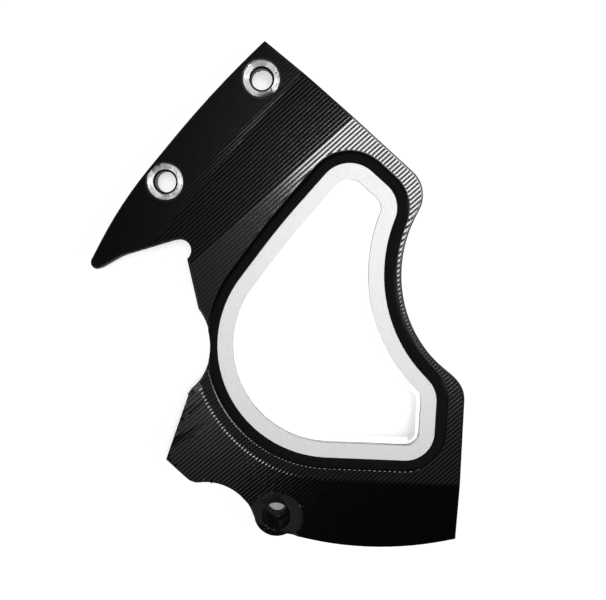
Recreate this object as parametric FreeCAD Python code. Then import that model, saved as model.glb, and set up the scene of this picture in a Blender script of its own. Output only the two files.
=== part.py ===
import FreeCAD, Part
import math
import os

# Sprocket cover of a motorcycle, milled from aluminium plate, with a clear window.
# It lies as it is fastened: +Z points away from the engine, +Y up, +X to the rear wheel.
# The origin is the lower fixing hole, on the plane where its boss meets the engine.

# Outline of the milled body, anticlockwise from the top: x, y, corner radius
TOP_CORNER = (-3.2, 167.5, 0.5)
FRONT_BEND = (-20.9, 151.1, 360.0)
SPUR_BEND = (-53.3, 113.0, 143.0)
SPUR_TIP = (-67.8, 86.3, 2.3)
LIP_BEND = (-53.4, 94.4, 17.0)
NOTCH_CORNER = (-31.8, 100.8, 0.0)
WAIST_CORNER = (-24.0, 63.9, 0.0)
TOE_CORNER = (-39.7, 20.9, 0.5)
TOE_LOWER_CORNER = (-30.3, 12.1, 5.8)
FRONT_HOLLOW = (-18.2, 13.9, 16.9)
BOSS_NECK = (-9.8, 4.6, 8.0)
BOSS_FRONT = (-7.7, -0.9, 0.0)
BOSS_REAR = (7.9, -7.9, 0.0)
BOTTOM_EDGE = (36.7, -14.8, 110.0)
HEEL_CORNER = (65.2, -8.4, 0.0)
REAR_LOWER_CORNER = (66.8, 48.8, 10.3)
REAR_HOLLOW = (31.8, 78.1, 44.0)
REAR_UPPER_CORNER = (53.7, 117.6, 10.8)
REAR_EDGE_BEND = (10.9, 156.0, 150.0)
OUTLINE = (
    TOP_CORNER, FRONT_BEND, SPUR_BEND, SPUR_TIP, LIP_BEND, NOTCH_CORNER, WAIST_CORNER, TOE_CORNER,
    TOE_LOWER_CORNER, FRONT_HOLLOW, BOSS_NECK, BOSS_FRONT, BOSS_REAR, BOTTOM_EDGE, HEEL_CORNER,
    REAR_LOWER_CORNER, REAR_HOLLOW, REAR_UPPER_CORNER, REAR_EDGE_BEND,
)
BOSS_BLEND = 3.0

# Round clearances cut into the outline: x, y, radius
WAIST_CLEARANCE = (-44.3, 63.5, 21.8)
CABLE_NOTCH = (-32.6, 96.5, 3.7)

# Outer edge of the window ring, anticlockwise from the top: x, y, corner radius
WINDOW_FRONT = (-58.3, 26.3, 39.7)
WINDOW = (
    (24.8, 130.9, 11.2), (1.8, 105.1, 246.0), WINDOW_FRONT,
    (55.8, 21.9, 10.3), (56.9, 47.9, 10.8), (30.1, 76.9, 51.5), (43.8, 114.0, 10.1),
)
SPROCKET_AXIS = (20.1, 63.4)
RING_WIDTH = 5.45
RIM_WIDTH = 3.6
LEDGE_WIDTH = 4.6

# Heights above the plane of the lower boss
PLATEAU_HEIGHT = 17.4
RIM_RISE = 1.7
RING_BELOW_RIM = 0.4
RING_THICKNESS = 2.6
PANE_FLANGE_THICKNESS = 1.5
PANE_BELOW_RING = 0.5
PLATE_THICKNESS = 5.0

# Sloping faces: where each leaves the level above it, the way it falls and how steeply, in degrees
UPPER_FACE_EDGE = (12.0, 128.6)
UPPER_FACE_HEADING = 131.5
UPPER_FACE_SLOPE = 7.6
FLANGE_CREASE_REAR = (8.5, 155.7)
FLANGE_CREASE_FRONT = (-38.3, 103.2)
FLANGE_SLOPE = 2.5
LOWER_FACE_MARGIN = 5.4
LOWER_FACE_START = 180.0
LOWER_FACE_HEADING = 267.5
LOWER_FACE_SLOPE = 8.5

# Walls that stand down from the plate to the engine
WALL_THICKNESS = 4.0
WALL_ZONE_WIDTH = 16.0
UPPER_WALL_RANGE = (TOP_CORNER, REAR_UPPER_CORNER)
LOWER_WALL_RANGE = (HEEL_CORNER, BOSS_REAR)

# Fixing holes
LOWER_HOLE = (0.0, 0.0)
LOWER_BORE_DIAMETER = 6.7
LOWER_BORE_LENGTH = 3.0
LOWER_RECESS_DIAMETER = 9.8
LOWER_BOSS_RADIUS = 7.8
LOWER_SEAT_HEIGHT = 14.0
LOWER_SEAT_RADIUS = 9.6
LOWER_CHAMFER = 0.4
UPPER_HOLES = ((-4.3, 154.8), (-37.8, 120.1))
UPPER_BORE_DIAMETER = 7.2
UPPER_SEAT_RADIUS = 6.25
UPPER_SEAT_DEPTH = 0.5
UPPER_CHAMFER = 0.7
UPPER_FACE_HEIGHT = 9.0
UPPER_BOSS_RADIUS = 8.5

# Edges and fits
RIM_ROUND = 1.2
RING_EDGE = 0.15
PANE_BEVEL = 1.4
RING_CLEARANCE = 0.1
PANE_CLEARANCE = 0.15
FLANGE_CLEARANCE = 0.4

# Screws that hold the ring from behind
SCREW_COUNT = 6
SCREW_DIAMETER = 2.5
SCREW_HOLE_CLEARANCE = 0.2
SCREW_THREAD_CLEARANCE = 0.05
SCREW_BITE = 1.8
SCREW_HEAD_DIAMETER = 4.5
SCREW_HEAD_HEIGHT = 1.5
SOCKET_ACROSS_FLATS = 1.5
SOCKET_DEPTH = 0.9
SCREW_TIP_GAP = 0.3

# A length that reaches past the whole part, and a distance that counts as nothing
REACH = 400.0
TINY = 0.01

RIM_HEIGHT = PLATEAU_HEIGHT + RIM_RISE
RING_TOP = RIM_HEIGHT - RING_BELOW_RIM
RING_BOTTOM = RING_TOP - RING_THICKNESS
LEDGE_TOP = RING_BOTTOM - PANE_FLANGE_THICKNESS
LEDGE_BOTTOM = PLATEAU_HEIGHT - PLATE_THICKNESS
PANE_TOP = RING_TOP - PANE_BELOW_RING
CLEAR_ABOVE = 2 * RIM_HEIGHT
HEXAGON_SIDES = 6


def vec(x, y, z=0.0):
    """A point or a direction."""
    return FreeCAD.Vector(x, y, z)


def corner_arc(before, corner, after):
    """Start, middle and end of the arc that rounds a corner, or the corner alone."""
    point = vec(corner[0], corner[1])
    radius = corner[2]
    if radius == 0:
        return [point]
    to_before = (vec(before[0], before[1]) - point).normalize()
    to_after = (vec(after[0], after[1]) - point).normalize()
    half_angle = to_before.getAngle(to_after) / 2
    run = radius / math.tan(half_angle)
    inward = (to_before + to_after).normalize()
    middle = point + inward * (radius / math.sin(half_angle) - radius)
    return [point + to_before * run, middle, point + to_after * run]


def rounded_wire(corners):
    """Closed wire through corners given as x, y and radius."""
    count = len(corners)
    arcs = [corner_arc(corners[i - 1], corners[i], corners[(i + 1) % count]) for i in range(count)]
    edges = []
    for index, arc in enumerate(arcs):
        if len(arc) > 1:
            edges.append(Part.Arc(*arc).toShape())
        following = arcs[(index + 1) % count]
        if arc[-1].distanceToPoint(following[0]) > 1e-6:
            edges.append(Part.makeLine(arc[-1], following[0]))
    return Part.Wire(edges)


def window_face(offset=0.0):
    """Face inside the window contour, grown or shrunk by an offset."""
    face = Part.Face(rounded_wire(WINDOW))
    if offset == 0:
        return face
    return face.makeOffset2D(offset)


def prism(face, bottom, top):
    """Upright solid over a flat face, between two heights."""
    base = face.copy()
    base.translate(vec(0, 0, bottom))
    return base.extrude(vec(0, 0, top - bottom))


def disc(place, radius, bottom, top):
    """Upright cylinder between two heights."""
    return Part.makeCylinder(radius, top - bottom, vec(place[0], place[1], bottom))


def space_above_slope(place, height, heading, slope):
    """Space above a plane that starts at a level edge and falls towards a heading."""
    fall = REACH * math.tan(math.radians(slope))
    profile = Part.makePolygon([
        vec(0, 0, 0),
        vec(REACH, 0, -fall),
        vec(REACH, 0, CLEAR_ABOVE),
        vec(0, 0, CLEAR_ABOVE),
        vec(0, 0, 0),
    ])
    wedge = Part.Face(profile).extrude(vec(0, 2 * REACH, 0))
    wedge.translate(vec(0, -REACH, 0))
    wedge.rotate(vec(0, 0, 0), vec(0, 0, 1), heading)
    wedge.translate(vec(place[0], place[1], height))
    return wedge


def upper_face_height(place):
    """Height of the upper face's plane at a place."""
    heading = math.radians(UPPER_FACE_HEADING)
    reach = vec(place[0] - UPPER_FACE_EDGE[0], place[1] - UPPER_FACE_EDGE[1])
    run = reach.dot(vec(math.cos(heading), math.sin(heading)))
    return PLATEAU_HEIGHT - run * math.tan(math.radians(UPPER_FACE_SLOPE))


def flange_axes():
    """Front end of the crease, its direction, and the direction in which the flange falls away from it."""
    rear = vec(*FLANGE_CREASE_REAR, upper_face_height(FLANGE_CREASE_REAR))
    front = vec(*FLANGE_CREASE_FRONT, upper_face_height(FLANGE_CREASE_FRONT))
    along = (rear - front).normalize()
    level = vec(0, 0, 1).cross(along).normalize()
    slope = math.radians(FLANGE_SLOPE)
    return front, along, level * math.cos(slope) - vec(0, 0, math.sin(slope))


def flange_height(place):
    """Height of the fixing flange's outer face at a place."""
    front, along, outward = flange_axes()
    normal = along.cross(outward).normalize()
    reach = vec(place[0] - front.x, place[1] - front.y)
    return front.z - reach.dot(normal) / normal.z


def space_under_flange_plane():
    """Space under the plane of the fixing flange, which starts at the crease."""
    front, along, outward = flange_axes()
    near = front - along * REACH
    far = front + along * REACH
    corners = [near, far, far + outward * REACH, near + outward * REACH, near]
    plane = Part.Face(Part.makePolygon(corners))
    return plane.extrude(vec(0, 0, -CLEAR_ABOVE))


def space_above_upper_faces():
    """Space above the upper face and the fixing flange, which meet in a hollow crease."""
    above = space_above_slope(UPPER_FACE_EDGE, PLATEAU_HEIGHT, UPPER_FACE_HEADING, UPPER_FACE_SLOPE)
    return above.cut(space_under_flange_plane())


def space_above_lower_faces():
    """Space above the face that falls away below the window: a cone that runs into a plane."""
    crease_radius = WINDOW_FRONT[2] + RIM_WIDTH + LOWER_FACE_MARGIN
    fall = REACH * math.tan(math.radians(LOWER_FACE_SLOPE))
    profile = Part.makePolygon([
        vec(crease_radius, 0, 0),
        vec(crease_radius + REACH, 0, -fall),
        vec(crease_radius + REACH, 0, CLEAR_ABOVE),
        vec(crease_radius, 0, CLEAR_ABOVE),
        vec(crease_radius, 0, 0),
    ])
    section = Part.Face(profile)
    section.rotate(vec(0, 0, 0), vec(0, 0, 1), LOWER_FACE_START)
    sweep = LOWER_FACE_HEADING - LOWER_FACE_START
    cone = section.revolve(vec(0, 0, 0), vec(0, 0, 1), sweep)
    section.rotate(vec(0, 0, 0), vec(0, 0, 1), sweep)
    heading = math.radians(LOWER_FACE_HEADING + 90)
    plane = section.extrude(vec(math.cos(heading), math.sin(heading)) * REACH)
    above = cone.fuse(plane)
    above.translate(vec(SPROCKET_AXIS[0], SPROCKET_AXIS[1], PLATEAU_HEIGHT))
    return above


def round_face(place, radius):
    """Flat round face."""
    return Part.Face(Part.Wire(Part.makeCircle(radius, vec(place[0], place[1]))))


def body_face():
    """Plan of the milled body: outline, lower boss blended into it, and round clearances."""
    plan = Part.Face(rounded_wire(OUTLINE)).fuse(round_face(LOWER_HOLE, LOWER_BOSS_RADIUS)).removeSplitter()
    plan = plan.Faces[0].makeOffset2D(BOSS_BLEND).makeOffset2D(-BOSS_BLEND)
    for clearance in (WAIST_CLEARANCE, CABLE_NOTCH):
        plan = plan.cut(round_face(clearance, clearance[2]))
    return plan.Faces[0]


def outer_form(plan, lowered=0.0):
    """Solid under the outer faces of the plate, or under the same faces moved down."""
    form = prism(plan, 0, PLATEAU_HEIGHT - lowered)
    for above in (space_above_upper_faces(), space_above_lower_faces()):
        above.translate(vec(0, 0, -lowered))
        form = form.cut(above)
    return form


def wall_zone(start, end):
    """Strip over one stretch of the outline."""
    along = (vec(end[0], end[1]) - vec(start[0], start[1])).normalize()
    side = vec(-along.y, along.x) * (WALL_ZONE_WIDTH / 2)
    near = vec(start[0], start[1])
    far = vec(end[0], end[1])
    return Part.Face(Part.makePolygon([near - side, far - side, far + side, near + side, near - side]))


def wall_plans(plan):
    """Plans of the walls that follow the outline and stand down to the engine."""
    border = plan.cut(plan.makeOffset2D(-WALL_THICKNESS))
    return [border.common(wall_zone(start, end)) for start, end in (UPPER_WALL_RANGE, LOWER_WALL_RANGE)]


def rear_hollow(plan):
    """Space behind the plate, inside its walls and around its bosses."""
    hollow = outer_form(plan, PLATE_THICKNESS)
    for wall in wall_plans(plan):
        hollow = hollow.cut(prism(wall, 0, PLATEAU_HEIGHT))
    hollow = hollow.cut(disc(LOWER_HOLE, LOWER_BOSS_RADIUS, 0, PLATEAU_HEIGHT))
    for place in UPPER_HOLES:
        hollow = hollow.cut(disc(place, UPPER_BOSS_RADIUS, UPPER_FACE_HEIGHT, PLATEAU_HEIGHT))
    return hollow


def window_rim():
    """Raised moulding around the window, rounded over at its outer edge."""
    rim = prism(window_face(RIM_WIDTH), LEDGE_BOTTOM, RIM_HEIGHT)
    top_edges = [edge for edge in rim.Edges if min(v.Z for v in edge.Vertexes) > RIM_HEIGHT - TINY]
    rim = rim.makeFillet(RIM_ROUND, top_edges)
    return rim.cut(disc(WAIST_CLEARANCE, WAIST_CLEARANCE[2], 0, RIM_HEIGHT))


def chamfered_bore(place, diameter, chamfer, bottom, seat_height):
    """Cutter for a bore between a height and a seat, with its upper edge chamfered."""
    radius = diameter / 2
    cone = Part.makeCone(radius, radius + chamfer, chamfer, vec(place[0], place[1], seat_height - chamfer))
    return disc(place, radius, bottom, seat_height).fuse(cone)


def upper_seat_height(place):
    """Height of the level seat that is sunk into the flange around an upper hole."""
    return flange_height(place) - UPPER_SEAT_DEPTH


def fixing_holes():
    """Cutter for the three fixing holes, the recess over the lower one and the seats of the bolts."""
    cutter = disc(LOWER_HOLE, LOWER_SEAT_RADIUS, LOWER_SEAT_HEIGHT, CLEAR_ABOVE)
    recess = (LOWER_RECESS_DIAMETER, LOWER_CHAMFER, LOWER_BORE_LENGTH, LOWER_SEAT_HEIGHT)
    cutter = cutter.fuse(chamfered_bore(LOWER_HOLE, *recess))
    cutter = cutter.fuse(disc(LOWER_HOLE, LOWER_BORE_DIAMETER / 2, -TINY, LOWER_SEAT_HEIGHT))
    for place in UPPER_HOLES:
        seat = upper_seat_height(place)
        cutter = cutter.fuse(disc(place, UPPER_SEAT_RADIUS, seat, CLEAR_ABOVE))
        cutter = cutter.fuse(chamfered_bore(place, UPPER_BORE_DIAMETER, UPPER_CHAMFER, 0, seat))
    return cutter


def screw_places():
    """Places of the ring screws, evenly spaced along the middle of the ledge."""
    path = window_face(-LEDGE_WIDTH / 2).OuterWire
    return [(point.x, point.y) for point in path.discretize(SCREW_COUNT + 1)[:-1]]


def screw_holes(diameter, bottom, top):
    """Cutter for the screw holes of one piece."""
    holes = [disc(place, diameter / 2, bottom, top) for place in screw_places()]
    return Part.makeCompound(holes)


def cover_body():
    """The milled body: plate, walls, bosses, rim and the ledge that carries the window."""
    plan = body_face()
    body = outer_form(plan).cut(rear_hollow(plan)).fuse(window_rim()).removeSplitter()
    body = body.cut(prism(window_face(RING_CLEARANCE), LEDGE_TOP, CLEAR_ABOVE))
    body = body.cut(prism(window_face(-LEDGE_WIDTH), 0, CLEAR_ABOVE))
    body = body.cut(fixing_holes())
    body = body.cut(screw_holes(SCREW_DIAMETER + SCREW_HOLE_CLEARANCE, LEDGE_BOTTOM - TINY, LEDGE_TOP + TINY))
    return body.removeSplitter()


def window_ring():
    """Ring that clamps the pane, with its outer upper edge broken."""
    disc_form = prism(window_face(), RING_BOTTOM, RING_TOP)
    top_edges = [edge for edge in disc_form.Edges if min(v.Z for v in edge.Vertexes) > RING_TOP - TINY]
    ring = disc_form.makeChamfer(RING_EDGE, top_edges).cut(prism(window_face(-RING_WIDTH), 0, CLEAR_ABOVE))
    thread_diameter = SCREW_DIAMETER + SCREW_THREAD_CLEARANCE
    return ring.cut(screw_holes(thread_diameter, RING_BOTTOM - TINY, RING_BOTTOM + SCREW_BITE))


def window_pane():
    """Clear pane: a flange under the ring and a raised middle with a bevelled edge."""
    flange = prism(window_face(-FLANGE_CLEARANCE), LEDGE_TOP, RING_BOTTOM)
    middle = prism(window_face(-RING_WIDTH - PANE_CLEARANCE), LEDGE_TOP, PANE_TOP)
    top_edges = [edge for edge in middle.Edges if min(v.Z for v in edge.Vertexes) > PANE_TOP - TINY]
    middle = middle.makeChamfer(PANE_BEVEL, top_edges)
    pane = flange.fuse(middle)
    pane = pane.cut(screw_holes(SCREW_DIAMETER + SCREW_HOLE_CLEARANCE, LEDGE_TOP - TINY, RING_BOTTOM + TINY))
    return pane.removeSplitter()


def ring_screw(place):
    """One screw that holds the ring: head under the ledge, hexagon socket, shank into the ring."""
    head_bottom = LEDGE_BOTTOM - SCREW_HEAD_HEIGHT
    head = disc(place, SCREW_HEAD_DIAMETER / 2, head_bottom, LEDGE_BOTTOM)
    shank_top = RING_BOTTOM + SCREW_BITE - SCREW_TIP_GAP
    shank = disc(place, SCREW_DIAMETER / 2, LEDGE_BOTTOM, shank_top)
    turns = [2 * math.pi * side / HEXAGON_SIDES for side in range(HEXAGON_SIDES + 1)]
    corner_radius = SOCKET_ACROSS_FLATS / 2 / math.cos(math.pi / HEXAGON_SIDES)
    middle = vec(place[0], place[1])
    hexagon = [middle + vec(math.cos(turn), math.sin(turn)) * corner_radius for turn in turns]
    socket = prism(Part.Face(Part.makePolygon(hexagon)), head_bottom, head_bottom + SOCKET_DEPTH)
    return head.fuse(shank).removeSplitter().cut(socket)


def ring_screws():
    """All ring screws, as separate solids."""
    return Part.makeCompound([ring_screw(place) for place in screw_places()])


def main():
    """Builds each piece and writes it to its own file."""
    os.makedirs("parts", exist_ok=True)
    pieces = {
        "cover_body": cover_body(),
        "window_ring": window_ring(),
        "window_pane": window_pane(),
        "ring_screws": ring_screws(),
    }
    for name, shape in pieces.items():
        shape.exportStep(os.path.join("parts", name + ".step"))
        print(name, len(shape.Solids), "solids", shape.Volume, "mm3", "valid", shape.isValid())


if __name__ == "__main__":
    main()
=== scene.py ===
"""Looks of a milled sprocket cover with a clear window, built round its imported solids, in metres."""
import logging
import math
from collections.abc import Callable, Iterable
from dataclasses import dataclass, field
from enum import Enum

import bmesh
import bpy
from mathutils import Matrix, Vector


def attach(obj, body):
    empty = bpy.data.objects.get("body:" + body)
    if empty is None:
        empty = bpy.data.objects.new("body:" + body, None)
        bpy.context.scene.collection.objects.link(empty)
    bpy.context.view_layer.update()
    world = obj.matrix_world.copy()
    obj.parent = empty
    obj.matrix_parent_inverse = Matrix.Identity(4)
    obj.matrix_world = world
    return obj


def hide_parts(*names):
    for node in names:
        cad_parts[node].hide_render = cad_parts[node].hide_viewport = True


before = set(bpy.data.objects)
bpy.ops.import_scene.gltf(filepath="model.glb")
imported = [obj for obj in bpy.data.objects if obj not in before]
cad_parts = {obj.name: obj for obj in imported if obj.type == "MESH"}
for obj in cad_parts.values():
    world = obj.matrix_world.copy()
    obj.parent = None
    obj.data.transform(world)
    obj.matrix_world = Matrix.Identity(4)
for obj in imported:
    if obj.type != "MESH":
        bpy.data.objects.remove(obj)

LOG = logging.getLogger("sprocket_cover")
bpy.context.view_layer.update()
MM = 0.001
Tint = tuple[float, float, float]
UPPER_HOLES = ((-4.3 * MM, 154.8 * MM), (-37.8 * MM, 120.1 * MM))

# Lengths in metres and angles in degrees that clean a mesh without a visible change
MERGE_DISTANCE = 2e-6
CUT_TOLERANCE = 1e-7
SHORT_EDGE = 2e-5
FLAT_ANGLE = 0.2
SMOOTH_ANGLE = 32.0

# Height part of a face's normal: exactly level, level, level or a gentle slope, barely sloped, and upright
EXACTLY_LEVEL = 0.99999
LEVEL = 0.999
SLOPED = 0.995
GENTLE = 0.95
UPRIGHT = 0.05


class Surface(Enum):
    """The sorts of surface on the milled body. The value is the material's place in the piece's slots."""

    PLAIN = 0
    MILLED = 1
    FLANGE = 2
    SEAT = 3
    RIM = 4
    BORDER = 5


class Nodes:
    """A node tree, with short ways to add and join its nodes."""

    def __init__(self, tree: bpy.types.NodeTree) -> None:
        """Remembers the tree."""
        self.tree = tree

    def add(self, kind: str, inputs: dict | None = None, **settings: object) -> bpy.types.Node:
        """Adds a node.

        Args:
            kind: The node's type.
            inputs: Socket name or number to a value or to an output that it is linked to.
            settings: The node's own settings.

        Returns:
            The new node.
        """
        node = self.tree.nodes.new(kind)
        for name, value in settings.items():
            setattr(node, name, value)
        for socket, value in (inputs or {}).items():
            self.give(node.inputs[socket], value)
        return node

    def give(self, socket: bpy.types.NodeSocket, value: object) -> None:
        """Links a socket to an output, or sets its value."""
        if isinstance(value, bpy.types.NodeSocket):
            self.tree.links.new(value, socket)
        else:
            socket.default_value = value

    def math(self, operation: str, one: object, other: object = 0.0) -> bpy.types.NodeSocket:
        """The result of one sum on one or two values, by the operation's name."""
        return self.add("ShaderNodeMath", {0: one, 1: other}, operation=operation).outputs[0]


class Shader(Nodes):
    """A material's nodes round its principled shader."""

    def __init__(self, name: str) -> None:
        """Starts a material.

        Args:
            name: The material's name.
        """
        self.material = bpy.data.materials.new(name)
        self.material.use_nodes = True
        super().__init__(self.material.node_tree)
        self.surface = self.tree.nodes["Principled BSDF"]
        self.output = self.tree.nodes["Material Output"]
        self.place = self.add("ShaderNodeTexCoord").outputs["Object"]

    def plain(self, **values: object) -> None:
        """Sets values on the principled shader's own sockets, by name with underscores for spaces."""
        for name, value in values.items():
            words = name.replace("_", " ")
            socket = next(s for s in self.surface.inputs if s.name.lower() == words.lower())
            self.give(socket, value)

    def noise(self, size: float, detail: float = 3.0, place: object = None) -> bpy.types.NodeSocket:
        """Grain of a given size in metres, as a value about a half.

        Args:
            size: Length of one grain.
            detail: How many finer grains it holds.
            place: Coordinates, or none for the object's own.

        Returns:
            The grain's value.
        """
        inputs = {"Vector": place or self.place, "Scale": 1 / size, "Detail": detail}
        return self.add("ShaderNodeTexNoise", inputs).outputs["Fac"]

    def stretched(self, turn: float, stretch: tuple[float, float, float]) -> bpy.types.NodeSocket:
        """Coordinates turned about the upright axis and squeezed, for marks that run one way.

        Args:
            turn: Angle of the marks from +X, in degrees.
            stretch: Share of each length that is kept, along, across and up.

        Returns:
            The coordinates.
        """
        turned = self.add("ShaderNodeMapping", {"Vector": self.place, "Rotation": (0, 0, math.radians(-turn))})
        return self.add("ShaderNodeMapping", {"Vector": turned.outputs[0], "Scale": stretch}).outputs[0]

    def spread(self, value: object, low: float, high: float) -> bpy.types.NodeSocket:
        """Spreads the middle of a grain's values over a range.

        Args:
            value: A value about a half.
            low: What 0.3 becomes.
            high: What 0.7 becomes.

        Returns:
            The spread value.
        """
        inputs = {"Value": value, "From Min": 0.3, "From Max": 0.7, "To Min": low, "To Max": high}
        return self.add("ShaderNodeMapRange", inputs).outputs[0]

    def tint(self, value: object, dark: Tint, light: Tint) -> bpy.types.NodeSocket:
        """Colour between two tints, by a value from 0 to 1.

        Args:
            value: 0 for the dark tint and 1 for the light one.
            dark: The first tint.
            light: The second tint.

        Returns:
            The colour.
        """
        mix = self.add("ShaderNodeMix", data_type="RGBA")
        self.give(mix.inputs["Factor"], value)
        self.give(mix.inputs["A"], (*dark, 1))
        self.give(mix.inputs["B"], (*light, 1))
        return mix.outputs["Result"]

    def bump(self, height: object, depth: float) -> bpy.types.NodeSocket:
        """Fine relief.

        Args:
            height: Value from 0 to 1.
            depth: Height of the relief in metres.

        Returns:
            The normal.
        """
        return self.add("ShaderNodeBump", {"Height": height, "Distance": depth}).outputs["Normal"]


@dataclass(frozen=True)
class AnodisedBlack:
    """Black anodised aluminium with a fine blasted grain."""

    name: str = "black_anodised"
    dark: Tint = (0.004, 0.004, 0.0045)
    light: Tint = (0.010, 0.010, 0.011)
    roughness: tuple[float, float] = (0.36, 0.52)
    grain: float = 0.35 * MM
    relief: float = 0.012 * MM

    def material(self) -> bpy.types.Material:
        """Makes the material."""
        shader = Shader(self.name)
        grain = shader.noise(self.grain, 2)
        cloud = shader.noise(14 * MM, 3)
        shader.plain(
            base_color=shader.tint(cloud, self.dark, self.light),
            roughness=shader.spread(grain, *self.roughness),
            ior=1.2,
            normal=shader.bump(grain, self.relief),
        )
        return shader.material


@dataclass(frozen=True)
class RimBlack:
    """Black anodised rim: matt and grained on its level land, satin where it rounds over."""

    name: str = "rim_black"
    dark: Tint = (0.001, 0.001, 0.0012)
    light: Tint = (0.005, 0.005, 0.0055)
    land_height: float = 19.1 * MM
    round_over: float = 0.22 * MM
    matt: float = 0.72
    satin: float = 0.27

    def material(self) -> bpy.types.Material:
        """Makes the material."""
        shader = Shader(self.name)
        height = shader.add("ShaderNodeSeparateXYZ", {0: shader.place}).outputs["Z"]
        low = self.land_height - self.round_over
        inputs = {"Value": height, "From Min": low, "From Max": self.land_height - self.round_over / 4}
        inputs |= {"To Min": self.satin, "To Max": self.matt}
        roughness = shader.add("ShaderNodeMapRange", inputs).outputs[0]
        grain = shader.noise(0.5 * MM, 3)
        shader.plain(
            base_color=shader.tint(shader.spread(grain, 0, 1), self.dark, self.light),
            roughness=roughness,
            ior=1.17,
            normal=shader.bump(grain, 0.008 * MM),
        )
        return shader.material


@dataclass(frozen=True)
class BorderBlack:
    """Smooth black strip where the cutter followed an edge."""

    name: str = "border_black"
    roughness: tuple[float, float] = (0.16, 0.26)

    def material(self) -> bpy.types.Material:
        """Makes the material."""
        shader = Shader(self.name)
        grain = shader.noise(0.3 * MM, 2)
        shader.plain(
            base_color=shader.tint(grain, (0.0015, 0.0015, 0.0017), (0.004, 0.004, 0.0043)),
            roughness=shader.spread(grain, *self.roughness),
            ior=1.45,
            normal=shader.bump(grain, 0.001 * MM),
        )
        return shader.material


@dataclass(frozen=True)
class MilledBlack:
    """Black anodised aluminium over a ball cutter's paths, with fine marks along each path."""

    name: str = "milled_black"
    turn: float = 41.5
    dark: Tint = (0.0008, 0.0008, 0.0009)
    light: Tint = (0.0025, 0.0025, 0.0027)
    roughness: tuple[float, float] = (0.10, 0.17)
    mark: float = 0.16 * MM
    relief: float = 0.0015 * MM
    ior: float = 1.45

    def material(self) -> bpy.types.Material:
        """Makes the material."""
        shader = Shader(self.name)
        marks = shader.noise(self.mark, 2, shader.stretched(self.turn, (0.04, 1, 1)))
        shader.plain(
            base_color=shader.tint(marks, self.dark, self.light),
            roughness=shader.spread(marks, *self.roughness),
            ior=self.ior,
            normal=shader.bump(marks, self.relief),
        )
        return shader.material


@dataclass(frozen=True)
class TurnedSeat:
    """Bare aluminium seat, cut after anodising by a tool that turned about the hole."""

    name: str = "turned_seat"
    centres: tuple[tuple[float, float], ...] = UPPER_HOLES
    groove: float = 0.12 * MM
    relief: float = 0.010 * MM

    def radius(self, shader: Shader) -> bpy.types.NodeSocket:
        """Distance to the nearer hole's axis.

        Args:
            shader: The material's node tree.

        Returns:
            The distance in metres.
        """
        level = {0: shader.place, 1: (1, 1, 0)}
        flat = shader.add("ShaderNodeVectorMath", level, operation="MULTIPLY").outputs[0]
        distances = [
            shader.add("ShaderNodeVectorMath", {0: flat, 1: (x, y, 0)}, operation="DISTANCE").outputs["Value"]
            for x, y in self.centres
        ]
        return shader.math("MINIMUM", *distances)

    def material(self) -> bpy.types.Material:
        """Makes the material."""
        shader = Shader(self.name)
        radius = self.radius(shader)
        wave = shader.math("SINE", shader.math("MULTIPLY", radius, math.tau / self.groove))
        cloud = shader.noise(2 * MM, 3)
        shader.plain(
            base_color=shader.tint(cloud, (0.50, 0.50, 0.51), (0.66, 0.66, 0.67)),
            metallic=1.0,
            roughness=shader.spread(cloud, 0.26, 0.38),
            normal=shader.bump(wave, self.relief),
        )
        return shader.material


@dataclass(frozen=True)
class BlastedSilver:
    """Clear anodised aluminium with an even blasted grain."""

    name: str = "silver_ring"
    dark: Tint = (0.60, 0.60, 0.604)
    light: Tint = (0.66, 0.66, 0.664)
    grain: float = 0.3 * MM
    relief: float = 0.010 * MM

    def material(self) -> bpy.types.Material:
        """Makes the material."""
        shader = Shader(self.name)
        grain = shader.noise(self.grain, 3)
        cloud = shader.noise(1.6 * MM, 4)
        shader.plain(
            base_color=shader.tint(cloud, self.dark, self.light),
            metallic=1.0,
            roughness=shader.spread(grain, 0.56, 0.64),
            normal=shader.bump(grain, self.relief),
        )
        return shader.material


@dataclass(frozen=True)
class ClearPane:
    """Polished clear plastic with the faintest lavender tint."""

    name: str = "clear_pane"
    tint: Tint = (0.88, 0.877, 0.895)

    def material(self) -> bpy.types.Material:
        """Makes the material."""
        shader = Shader(self.name)
        haze = shader.noise(9 * MM, 2)
        shader.plain(
            base_color=(*self.tint, 1),
            roughness=shader.spread(haze, 0.0, 0.02),
            ior=1.49,
            transmission_weight=1.0,
            normal=shader.bump(haze, 0.002 * MM),
        )
        return shader.material


@dataclass(frozen=True)
class ScrewSteel:
    """Stainless steel of small cap screws, with fine turned marks."""

    name: str = "steel_screws"

    def material(self) -> bpy.types.Material:
        """Makes the material."""
        shader = Shader(self.name)
        grain = shader.noise(0.2 * MM, 2)
        shader.plain(
            base_color=shader.tint(grain, (0.40, 0.39, 0.38), (0.52, 0.51, 0.50)),
            metallic=1.0,
            roughness=shader.spread(grain, 0.22, 0.34),
            normal=shader.bump(grain, 0.004 * MM),
        )
        return shader.material


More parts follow.
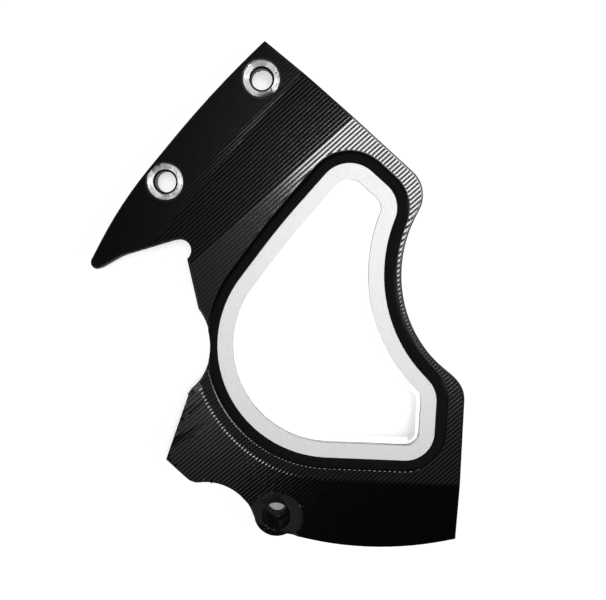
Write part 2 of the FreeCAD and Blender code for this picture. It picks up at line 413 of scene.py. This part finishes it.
@dataclass(frozen=True)
class Ridges:
    """Parallel paths of a ball cutter: angle from +X in degrees, pitch and depth in metres."""

    angle: float
    pitch: float
    depth: float
    steps: int = 6

    @property
    def across(self) -> Vector:
        """Level direction across the paths."""
        turn = math.radians(self.angle)
        return Vector((-math.sin(turn), math.cos(turn), 0))

    def cuts(self, low: float, high: float) -> list[float]:
        """Distances along the direction across at which the facets are cut, between two of them."""
        step = self.pitch / self.steps
        return [index * step for index in range(math.ceil(low / step), math.floor(high / step) + 1)]

    def sunk(self, place: Vector) -> float:
        """Depth below the crests at a place.

        Args:
            place: A point of the facet.

        Returns:
            The depth in metres, straight between one cut and the next.
        """
        share = place.dot(self.across) / self.pitch % 1 * self.steps
        cut = math.floor(share)
        near, far = (4 * self.depth * u * (1 - u) for u in (cut / self.steps, (cut + 1) / self.steps))
        return near + (far - near) * (share - cut)


class EditMode:
    """Edit mode on one piece, with its selection made in code."""

    def __init__(self, piece: bpy.types.Object) -> None:
        """Remembers the piece."""
        self.piece = piece

    def __enter__(self) -> "EditMode":
        """Makes the piece the only selected object and opens its mesh."""
        bpy.ops.object.select_all(action="DESELECT")
        self.piece.select_set(True)
        bpy.context.view_layer.objects.active = self.piece
        bpy.ops.object.mode_set(mode="EDIT")
        return self

    def __exit__(self, *problem: object) -> None:
        """Goes back to object mode."""
        bpy.ops.object.mode_set(mode="OBJECT")

    def select_edges(self, wanted: Callable[[bmesh.types.BMEdge], bool]) -> int:
        """Selects the edges that a test wants, and nothing else.

        Args:
            wanted: The test.

        Returns:
            How many are selected.
        """
        bpy.ops.mesh.select_mode(type="EDGE")
        bpy.ops.mesh.select_all(action="DESELECT")
        mesh = bmesh.from_edit_mesh(self.piece.data)
        chosen = [edge for edge in mesh.edges if len(edge.link_faces) == 2 and wanted(edge)]
        for edge in chosen:
            edge.select_set(True)
        bmesh.update_edit_mesh(self.piece.data)
        return len(chosen)

    def select_slots(self, surfaces: Iterable[Surface]) -> None:
        """Selects the faces of some sorts of surface, and nothing else."""
        bpy.ops.mesh.select_mode(type="FACE")
        bpy.ops.mesh.select_all(action="DESELECT")
        for surface in surfaces:
            self.piece.active_material_index = surface.value
            bpy.ops.object.material_slot_select()


@dataclass
class MilledBody:
    """The black body: facets with cutter paths, broken edges, a smooth rim and bare seats.

    Attributes:
        node: The solid that it stands for.
        slot: The record's material; not used.
        crease_front: Front end of the crease between the fixing flange and the face beside it.
        crease_rear: Rear end of that crease.
        plateau: Height of the level face.
        holes: Axes of the upper holes.
        seat_radius: Radius of their bare seats.
        pocket_radius: Radius of the lower hole's seat.
        lower_crease_end: How far up the rounded crease over the lower face reaches.
        outline_break: Width of the broken edge along the outline.
        seat_break: Width of the broken edge round the seats.
        rim_foot: Width of the fillet at the rim's foot.
        rim_inner_break: Width of the broken edge on the rim's inner side.
        crease_round: Width of the rounding of the lower crease.
        border: Width of the smooth border round the milled facets.
        ramp: Width of the rise from the border to the crests.
        near: Distance that still counts as the same height or radius.
        seat_reach: How far past a seat its own edge is looked for.
        rim_top_above: Height over the level face at which the rim's top edges start.
        rim_above: Height over the level face at which the rim starts.
        milled: Cutter paths of the facets.
        flange: Cutter paths of the fixing flange.
    """

    node: str = "cover_body"
    slot: str = "black_anodised"
    crease_front: tuple[float, float] = (-38.3 * MM, 103.2 * MM)
    crease_rear: tuple[float, float] = (8.5 * MM, 155.7 * MM)
    plateau: float = 17.4 * MM
    holes: tuple[tuple[float, float], ...] = UPPER_HOLES
    seat_radius: float = 6.25 * MM
    pocket_radius: float = 9.6 * MM
    lower_crease_end: float = 50 * MM
    outline_break: float = 0.2 * MM
    seat_break: float = 0.12 * MM
    rim_foot: float = 0.4 * MM
    rim_inner_break: float = 0.15 * MM
    crease_round: float = 0.7 * MM
    border: float = 0.45 * MM
    ramp: float = 0.15 * MM
    near: float = 0.05 * MM
    seat_reach: float = 0.2 * MM
    rim_top_above: float = 1.4 * MM
    rim_above: float = 0.3 * MM
    milled: Ridges = field(default_factory=lambda: Ridges(41.5, 1.24 * MM, 0.040 * MM))
    flange: Ridges = field(default_factory=lambda: Ridges(42.5, 1.12 * MM, 0.018 * MM))

    def build(self) -> bpy.types.Object:
        """Models and dresses the body.

        Returns:
            The finished piece.
        """
        piece = self.copy_of_solid()
        self.join_facets(piece)
        self.mark_surfaces(piece)
        self.break_edges(piece)
        self.leave_border(piece)
        for surface, ridges in ((Surface.MILLED, self.milled), (Surface.FLANGE, self.flange)):
            self.cut_paths(piece, surface, ridges)
        self.sink_paths(piece)
        self.shade(piece)
        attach(piece, "root")
        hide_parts(self.node)
        return piece

    def copy_of_solid(self) -> bpy.types.Object:
        """Copies the body's mesh to a piece of its own."""
        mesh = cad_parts[self.node].data.copy()
        mesh.materials.clear()
        finishes = {
            Surface.PLAIN: AnodisedBlack(),
            Surface.MILLED: MilledBlack(),
            Surface.FLANGE: MilledBlack("milled_flange", self.flange.angle, ior=1.26),
            Surface.SEAT: TurnedSeat(),
            Surface.RIM: RimBlack(),
            Surface.BORDER: BorderBlack(),
        }
        for surface in Surface:
            mesh.materials.append(finishes[surface].material())
        piece = bpy.data.objects.new("milled_body", mesh)
        bpy.context.scene.collection.objects.link(piece)
        return piece

    def join_facets(self, piece: bpy.types.Object) -> None:
        """Merges the loose triangles and turns flat areas into single faces."""
        with EditMode(piece):
            bpy.ops.mesh.select_all(action="SELECT")
            bpy.ops.mesh.remove_doubles(threshold=MERGE_DISTANCE)
            bpy.ops.mesh.dissolve_limited(angle_limit=math.radians(FLAT_ANGLE))

    def reach(self, place: Vector, centre: tuple[float, float]) -> float:
        """Level distance from a place to an upright axis."""
        return math.hypot(place.x - centre[0], place.y - centre[1])

    def beyond_crease(self, place: Vector) -> bool:
        """Whether a place is on the fixing flange's side of the crease."""
        (x0, y0), (x1, y1) = self.crease_front, self.crease_rear
        return (x1 - x0) * (place.y - y0) - (y1 - y0) * (place.x - x0) > 0

    def is_outer(self, face: bmesh.types.BMFace) -> bool:
        """Whether a face is one of the milled outer facets, and no seat, ledge or rim."""
        middle = face.calc_center_bounds()
        if face.normal.z < GENTLE or middle.z > self.plateau + self.near:
            return False
        return face.normal.z <= EXACTLY_LEVEL or abs(middle.z - self.plateau) < self.near

    def outer_and_wall(self, edge: bmesh.types.BMEdge) -> bool:
        """Whether an edge joins an outer facet to an upright wall."""
        one, other = edge.link_faces
        if self.is_outer(other):
            one, other = other, one
        return self.is_outer(one) and abs(other.normal.z) < UPRIGHT and not self.is_outer(other)

    def near_hole(self, edge: bmesh.types.BMEdge) -> bool:
        """Whether an edge runs round the seat of a hole."""
        ends = [vertex.co for vertex in edge.verts]
        limit = self.seat_radius + self.seat_reach
        upper = any(self.reach(end, hole) < limit for hole in self.holes for end in ends)
        return upper or all(abs(self.reach(end, (0, 0)) - self.pocket_radius) < 2 * self.near for end in ends)

    def is_rim_foot(self, edge: bmesh.types.BMEdge) -> bool:
        """Whether an edge is the hollow one where the rim stands on the facets."""
        return self.outer_and_wall(edge) and not edge.is_convex

    def is_outline(self, edge: bmesh.types.BMEdge) -> bool:
        """Whether an edge belongs to the outline."""
        return self.outer_and_wall(edge) and edge.is_convex and not self.near_hole(edge)

    def is_seat_edge(self, edge: bmesh.types.BMEdge) -> bool:
        """Whether an edge is the sharp one round a seat."""
        return self.outer_and_wall(edge) and edge.is_convex and self.near_hole(edge)

    def is_rim_inner(self, edge: bmesh.types.BMEdge) -> bool:
        """Whether an edge is the sharp one on the rim's inner side."""
        slopes = [face.normal.z for face in edge.link_faces]
        sharp = max(slopes) > LEVEL and abs(min(slopes)) < UPRIGHT
        return sharp and min(vertex.co.z for vertex in edge.verts) > self.plateau + self.rim_top_above

    def is_lower_crease(self, edge: bmesh.types.BMEdge) -> bool:
        """Whether an edge is the crease over the sloping lower face."""
        one, other = sorted(edge.link_faces, key=lambda face: face.normal.z)
        outer = self.is_outer(one) and self.is_outer(other)
        below = max(vertex.co.y for vertex in edge.verts) < self.lower_crease_end
        return outer and below and edge.is_convex and one.normal.z < SLOPED

    def break_edges(self, piece: bpy.types.Object) -> None:
        """Rounds the lower crease, fills the rim's foot and breaks the edges of outline, seats and rim."""
        jobs = (
            (self.crease_round, 4, Surface.MILLED, self.is_lower_crease),
            (self.rim_foot, 3, Surface.RIM, self.is_rim_foot),
            (self.outline_break, 2, Surface.BORDER, self.is_outline),
            (self.seat_break, 2, Surface.PLAIN, self.is_seat_edge),
            (self.rim_inner_break, 2, Surface.RIM, self.is_rim_inner),
        )
        with EditMode(piece) as edit:
            for width, segments, surface, wanted in jobs:
                count = edit.select_edges(wanted)
                if count:
                    bpy.ops.mesh.bevel(
                        offset=width, offset_type="OFFSET", segments=segments, affect="EDGES",
                        material=surface.value,
                    )
                LOG.info("broke %d edges by %.2f mm", count, width / MM)
            bpy.ops.mesh.select_all(action="SELECT")
            bpy.ops.mesh.dissolve_degenerate(threshold=SHORT_EDGE)

    def leave_border(self, piece: bpy.types.Object) -> None:
        """Leaves a smooth border round the milled facets, and inside it a short ramp up to the paths."""
        with EditMode(piece) as edit:
            edit.select_slots((Surface.MILLED, Surface.FLANGE))
            bpy.ops.mesh.inset(thickness=self.border, use_even_offset=False, use_select_inset=True)
            mesh = bmesh.from_edit_mesh(piece.data)
            for face in mesh.faces:
                if face.select:
                    face.material_index = Surface.BORDER.value
            bmesh.update_edit_mesh(piece.data)
            edit.select_slots((Surface.MILLED, Surface.FLANGE))
            bpy.ops.mesh.inset(thickness=self.ramp, use_even_offset=False)

    def mark_surfaces(self, piece: bpy.types.Object) -> None:
        """Gives each face the material of its sort of surface."""
        with EditMode(piece):
            mesh = bmesh.from_edit_mesh(piece.data)
            for face in mesh.faces:
                face.material_index = self.surface_of(face).value
            bmesh.update_edit_mesh(piece.data)

    def surface_of(self, face: bmesh.types.BMFace) -> Surface:
        """The sort of surface that a face belongs to."""
        middle = face.calc_center_bounds()
        if self.is_outer(face):
            return Surface.FLANGE if self.beyond_crease(middle) else Surface.MILLED
        near = any(self.reach(middle, hole) < self.seat_radius for hole in self.holes)
        if near and face.normal.z > LEVEL:
            return Surface.SEAT
        if middle.z > self.plateau + self.rim_above:
            return Surface.RIM
        return Surface.PLAIN

    def cut_paths(self, piece: bpy.types.Object, surface: Surface, ridges: Ridges) -> None:
        """Cuts the facets of one sort along its cutter paths.

        Args:
            piece: The body.
            surface: The sort of surface that is cut.
            ridges: Its paths.
        """
        across = ridges.across
        with EditMode(piece) as edit:
            mesh = bmesh.from_edit_mesh(piece.data)
            facets = [face for face in mesh.faces if face.material_index == surface.value]
            places = [vertex.co.dot(across) for face in facets for vertex in face.verts]
            for place in ridges.cuts(min(places), max(places)):
                edit.select_slots((surface,))
                bpy.ops.mesh.bisect(plane_co=across * place, plane_no=across, threshold=CUT_TOLERANCE)
        LOG.info("%s paths cut, %d faces", surface.name.lower(), len(piece.data.polygons))

    def sink_paths(self, piece: bpy.types.Object) -> None:
        """Sinks the points of the milled facets to the cutter's paths, and of the border to their depth."""
        with EditMode(piece):
            mesh = bmesh.from_edit_mesh(piece.data)
            for vertex in mesh.verts:
                kinds = {face.material_index for face in vertex.link_faces}
                ridges = self.milled if Surface.MILLED.value in kinds else self.flange
                if Surface.BORDER.value in kinds:
                    vertex.co.z -= ridges.depth
                elif kinds & {Surface.MILLED.value, Surface.FLANGE.value}:
                    vertex.co.z -= ridges.sunk(vertex.co)
            bmesh.update_edit_mesh(piece.data)

    def shade(self, piece: bpy.types.Object) -> None:
        """Shades curved faces smooth and leaves the cutter's paths crisp."""
        bpy.ops.object.shade_smooth_by_angle(angle=math.radians(SMOOTH_ANGLE))
        with EditMode(piece) as edit:
            edit.select_slots((Surface.MILLED, Surface.FLANGE))
            bpy.ops.mesh.faces_shade_flat()


@dataclass
class SolidPiece:
    """A piece whose solid already has its shape, and only gets its finish."""

    node: str
    finish: BlastedSilver | ClearPane | ScrewSteel

    def dress(self) -> bpy.types.Object:
        """Gives the solid its material.

        Returns:
            The solid's object.
        """
        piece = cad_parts[self.node]
        piece.data.materials.clear()
        piece.data.materials.append(self.finish.material())
        return piece


@dataclass(frozen=True)
class Lamp:
    """A soft box. Its place is given by where a point of the cover sees it.

    Attributes:
        name: The lamp's name.
        point: The point of the cover.
        tilt: Angles from straight up towards +X and +Y, in degrees.
        size: Width and height in metres.
        turn: Angle of the width from +X, in degrees.
        distance: Height above the point in metres.
        radiance: Brightness, where 1 is white.
    """

    name: str
    point: tuple[float, float, float]
    tilt: tuple[float, float]
    size: tuple[float, float]
    turn: float
    distance: float
    radiance: float

    def hang(self) -> None:
        """Adds the lamp to the scene."""
        slopes = [math.tan(math.radians(angle)) for angle in self.tilt]
        place = Vector(self.point) + Vector((*slopes, 1)) * self.distance
        data = bpy.data.lights.new(self.name, "AREA")
        data.shape = "RECTANGLE"
        data.size, data.size_y = self.size
        data.energy = self.radiance * math.pi * self.size[0] * self.size[1]
        back = (place - Vector(self.point)).normalized()
        width = Vector((math.cos(math.radians(self.turn)), math.sin(math.radians(self.turn)), 0))
        width = (width - back * width.dot(back)).normalized()
        turned = Matrix((width, back.cross(width), back)).transposed().to_4x4()
        lamp = bpy.data.objects.new(self.name, data)
        lamp.matrix_world = Matrix.Translation(place) @ turned
        bpy.context.scene.collection.objects.link(lamp)


@dataclass(frozen=True)
class Glow:
    """Light in the room that fades away from one direction.

    Attributes:
        tilt: Angles of the direction from straight up towards +X and +Y, in degrees.
        spread: Angle at which the light has fallen to a little over a third, in degrees.
        radiance: Brightness in the middle, where 1 is white.
    """

    tilt: tuple[float, float]
    spread: float
    radiance: float

    def light(self, room: Nodes, way: bpy.types.NodeSocket) -> bpy.types.NodeSocket:
        """Adds the glow's brightness.

        Args:
            room: The world's nodes.
            way: The direction that a ray looks in.

        Returns:
            The brightness in that direction.
        """
        middle = Vector((*(math.tan(math.radians(angle)) for angle in self.tilt), 1)).normalized()
        nearness = room.add("ShaderNodeVectorMath", {0: way, 1: middle}, operation="DOT_PRODUCT")
        sharpness = 2 / math.radians(self.spread) ** 2
        fall = room.math("MULTIPLY", room.math("SUBTRACT", nearness.outputs["Value"], 1.0), sharpness)
        return room.math("MULTIPLY", room.math("EXPONENT", fall), self.radiance)


@dataclass
class Studio:
    """Floor, light and camera.

    Attributes:
        camera_place: Where the camera stands, in metres.
        camera_view: The way it looks.
        camera_up: The way that is up in the image.
        focal_pixels: Focal length in pixels of the image.
        image_width: Width of the image in pixels.
        sensor_width: Width of the sensor in millimetres.
        floor_half: Half the floor's width in metres.
        floor_drop: How far the floor lies below the part.
        floor_tint: Brightness of the paper that the floor is made of.
        floor_glow: Light that the floor adds where it is seen.
        bore_shade: Distances from the lower hole's axis between which that light starts; nearer the axis the
            floor gets none of it, as painted shade inside the bore.
        glows: Light in the room round the lamps.
        ambient: Brightness of the rest of the room.
        dark_end: Brightness of the room's dark end.
        dark_range: How far towards +Y a ray points where the dark end begins and where it is left.
        lamps: The soft boxes.
    """

    camera_place: tuple[float, float, float] = (0.012237, 0.109359, 0.283)
    camera_view: tuple[float, float, float] = (-0.008976, -0.112273, -0.993637)
    camera_up: tuple[float, float, float] = (-0.001014, 0.993677, -0.112268)
    focal_pixels: float = 770.0
    image_width: float = 606.0
    sensor_width: float = 36.0
    floor_half: float = 6.0
    floor_drop: float = 0.3 * MM
    floor_tint: float = 0.55
    floor_glow: float = 0.64
    bore_shade: tuple[float, float] = (5.0 * MM, 7.6 * MM)
    glows: tuple[Glow, ...] = (Glow((5.0, 4.0), 14.5, 1.4), Glow((-23.0, -19.0), 10.0, 1.3))
    ambient: float = 0.02
    dark_end: float = 0.002
    dark_range: tuple[float, float] = (-0.60, -0.10)
    lamps: tuple[Lamp, ...] = (
        Lamp("soft_box_right", (0.035, 0.130, 0.018), (5.5, 3.6), (0.34, 0.32), 41.5, 1.5, 30.0),
        Lamp("soft_box_left", (-0.025, 0.040, 0.018), (-16.0, -20.0), (0.17, 0.17), 41.5, 1.5, 30.0),
        Lamp("strip_light", (0.045, 0.107, 0.020), (48.0, 3.0), (0.9, 0.25), 0.0, 1.2, 14.0),
    )

    def build(self) -> None:
        """Makes the whole studio."""
        bpy.context.scene.view_settings.view_transform = "Standard"
        self.camera()
        self.floor()
        for lamp in self.lamps:
            lamp.hang()
        self.sky()

    def camera(self) -> None:
        """Places the camera where the photograph was taken."""
        data = bpy.data.cameras.new("camera")
        data.sensor_fit = "HORIZONTAL"
        data.sensor_width = self.sensor_width
        data.lens = self.focal_pixels / self.image_width * self.sensor_width
        data.clip_start = 0.01
        view = Vector(self.camera_view).normalized()
        right = view.cross(Vector(self.camera_up)).normalized()
        turned = Matrix((right, right.cross(view), -view)).transposed().to_4x4()
        camera = bpy.data.objects.new("camera", data)
        camera.matrix_world = Matrix.Translation(self.camera_place) @ turned
        bpy.context.scene.collection.objects.link(camera)
        bpy.context.scene.camera = camera

    def floor(self) -> None:
        """Lays a white floor that keeps the shadow, with painted shade under the lower hole, where the floor
        adds no light.
        """
        bpy.ops.object.select_all(action="DESELECT")
        bpy.ops.mesh.primitive_plane_add(size=2 * self.floor_half, location=(0, 0, -self.floor_drop))
        floor = bpy.context.object
        floor.name = "floor"
        shader = Shader("floor")
        tree = shader.tree
        tree.nodes.remove(shader.surface)
        rays = shader.add("ShaderNodeLightPath").outputs
        seen = shader.math("MAXIMUM", rays["Is Camera Ray"], rays["Is Glossy Ray"])
        seen = shader.math("MAXIMUM", seen, rays["Is Transmission Ray"])
        # Painted shade: the floor's added light fades out towards the lower hole's axis, so the paper inside
        # the bore reads as shaded.
        reach = shader.add("ShaderNodeVectorMath", {0: shader.place}, operation="LENGTH").outputs["Value"]
        inner, outer = self.bore_shade
        inputs = {"Value": reach, "From Min": inner, "From Max": outer, "To Max": self.floor_glow}
        glow_outside_painted_bore_shade = shader.add("ShaderNodeMapRange", inputs).outputs[0]
        white = shader.add("ShaderNodeEmission", {"Strength": shader.math("MULTIPLY", seen, glow_outside_painted_bore_shade)})
        paper = shader.add("ShaderNodeBsdfDiffuse", {"Color": (*[self.floor_tint] * 3, 1)})
        both = shader.add("ShaderNodeAddShader", {0: white.outputs[0], 1: paper.outputs[0]})
        tree.links.new(both.outputs[0], shader.output.inputs["Surface"])
        floor.data.materials.append(shader.material)

    def sky(self) -> None:
        """Fills the room with light round the lamps and a dim rest, which fades towards -Y.

        The camera, and what shows through the pane, see it white.
        """
        world = bpy.data.worlds.new("room")
        world.use_nodes = True
        bpy.context.scene.world = world
        room = Nodes(world.node_tree)
        way = room.add("ShaderNodeTexCoord").outputs["Generated"]
        parts = room.add("ShaderNodeSeparateXYZ", {0: way}).outputs
        start, end = self.dark_range
        fade = {"Value": parts["Y"], "From Min": start, "From Max": end}
        fade |= {"To Min": self.dark_end, "To Max": self.ambient}
        light = room.add("ShaderNodeMapRange", fade, interpolation_type="SMOOTHSTEP").outputs[0]
        for glow in self.glows:
            light = room.math("ADD", light, glow.light(room, way))
        rays = room.add("ShaderNodeLightPath").outputs
        clear = room.math("MAXIMUM", rays["Is Camera Ray"], rays["Is Transmission Ray"])
        sky = world.node_tree.nodes["Background"].inputs
        sky["Color"].default_value = (1, 1, 1, 1)
        room.give(sky["Strength"], room.math("MAXIMUM", light, clear))


def main() -> None:
    """Builds the pieces in order and reports each."""
    logging.basicConfig(level=logging.INFO, format="%(name)s: %(message)s")
    Studio().build()
    body = MilledBody().build()
    LOG.info("%s: %d faces", body.name, len(body.data.polygons))
    for piece in (
        SolidPiece("window_ring", BlastedSilver()),
        SolidPiece("window_pane", ClearPane()),
        SolidPiece("ring_screws", ScrewSteel()),
    ):
        LOG.info("%s dressed", piece.dress().name)
    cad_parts["window_pane"].visible_shadow = False


if __name__ == "__main__":
    main()
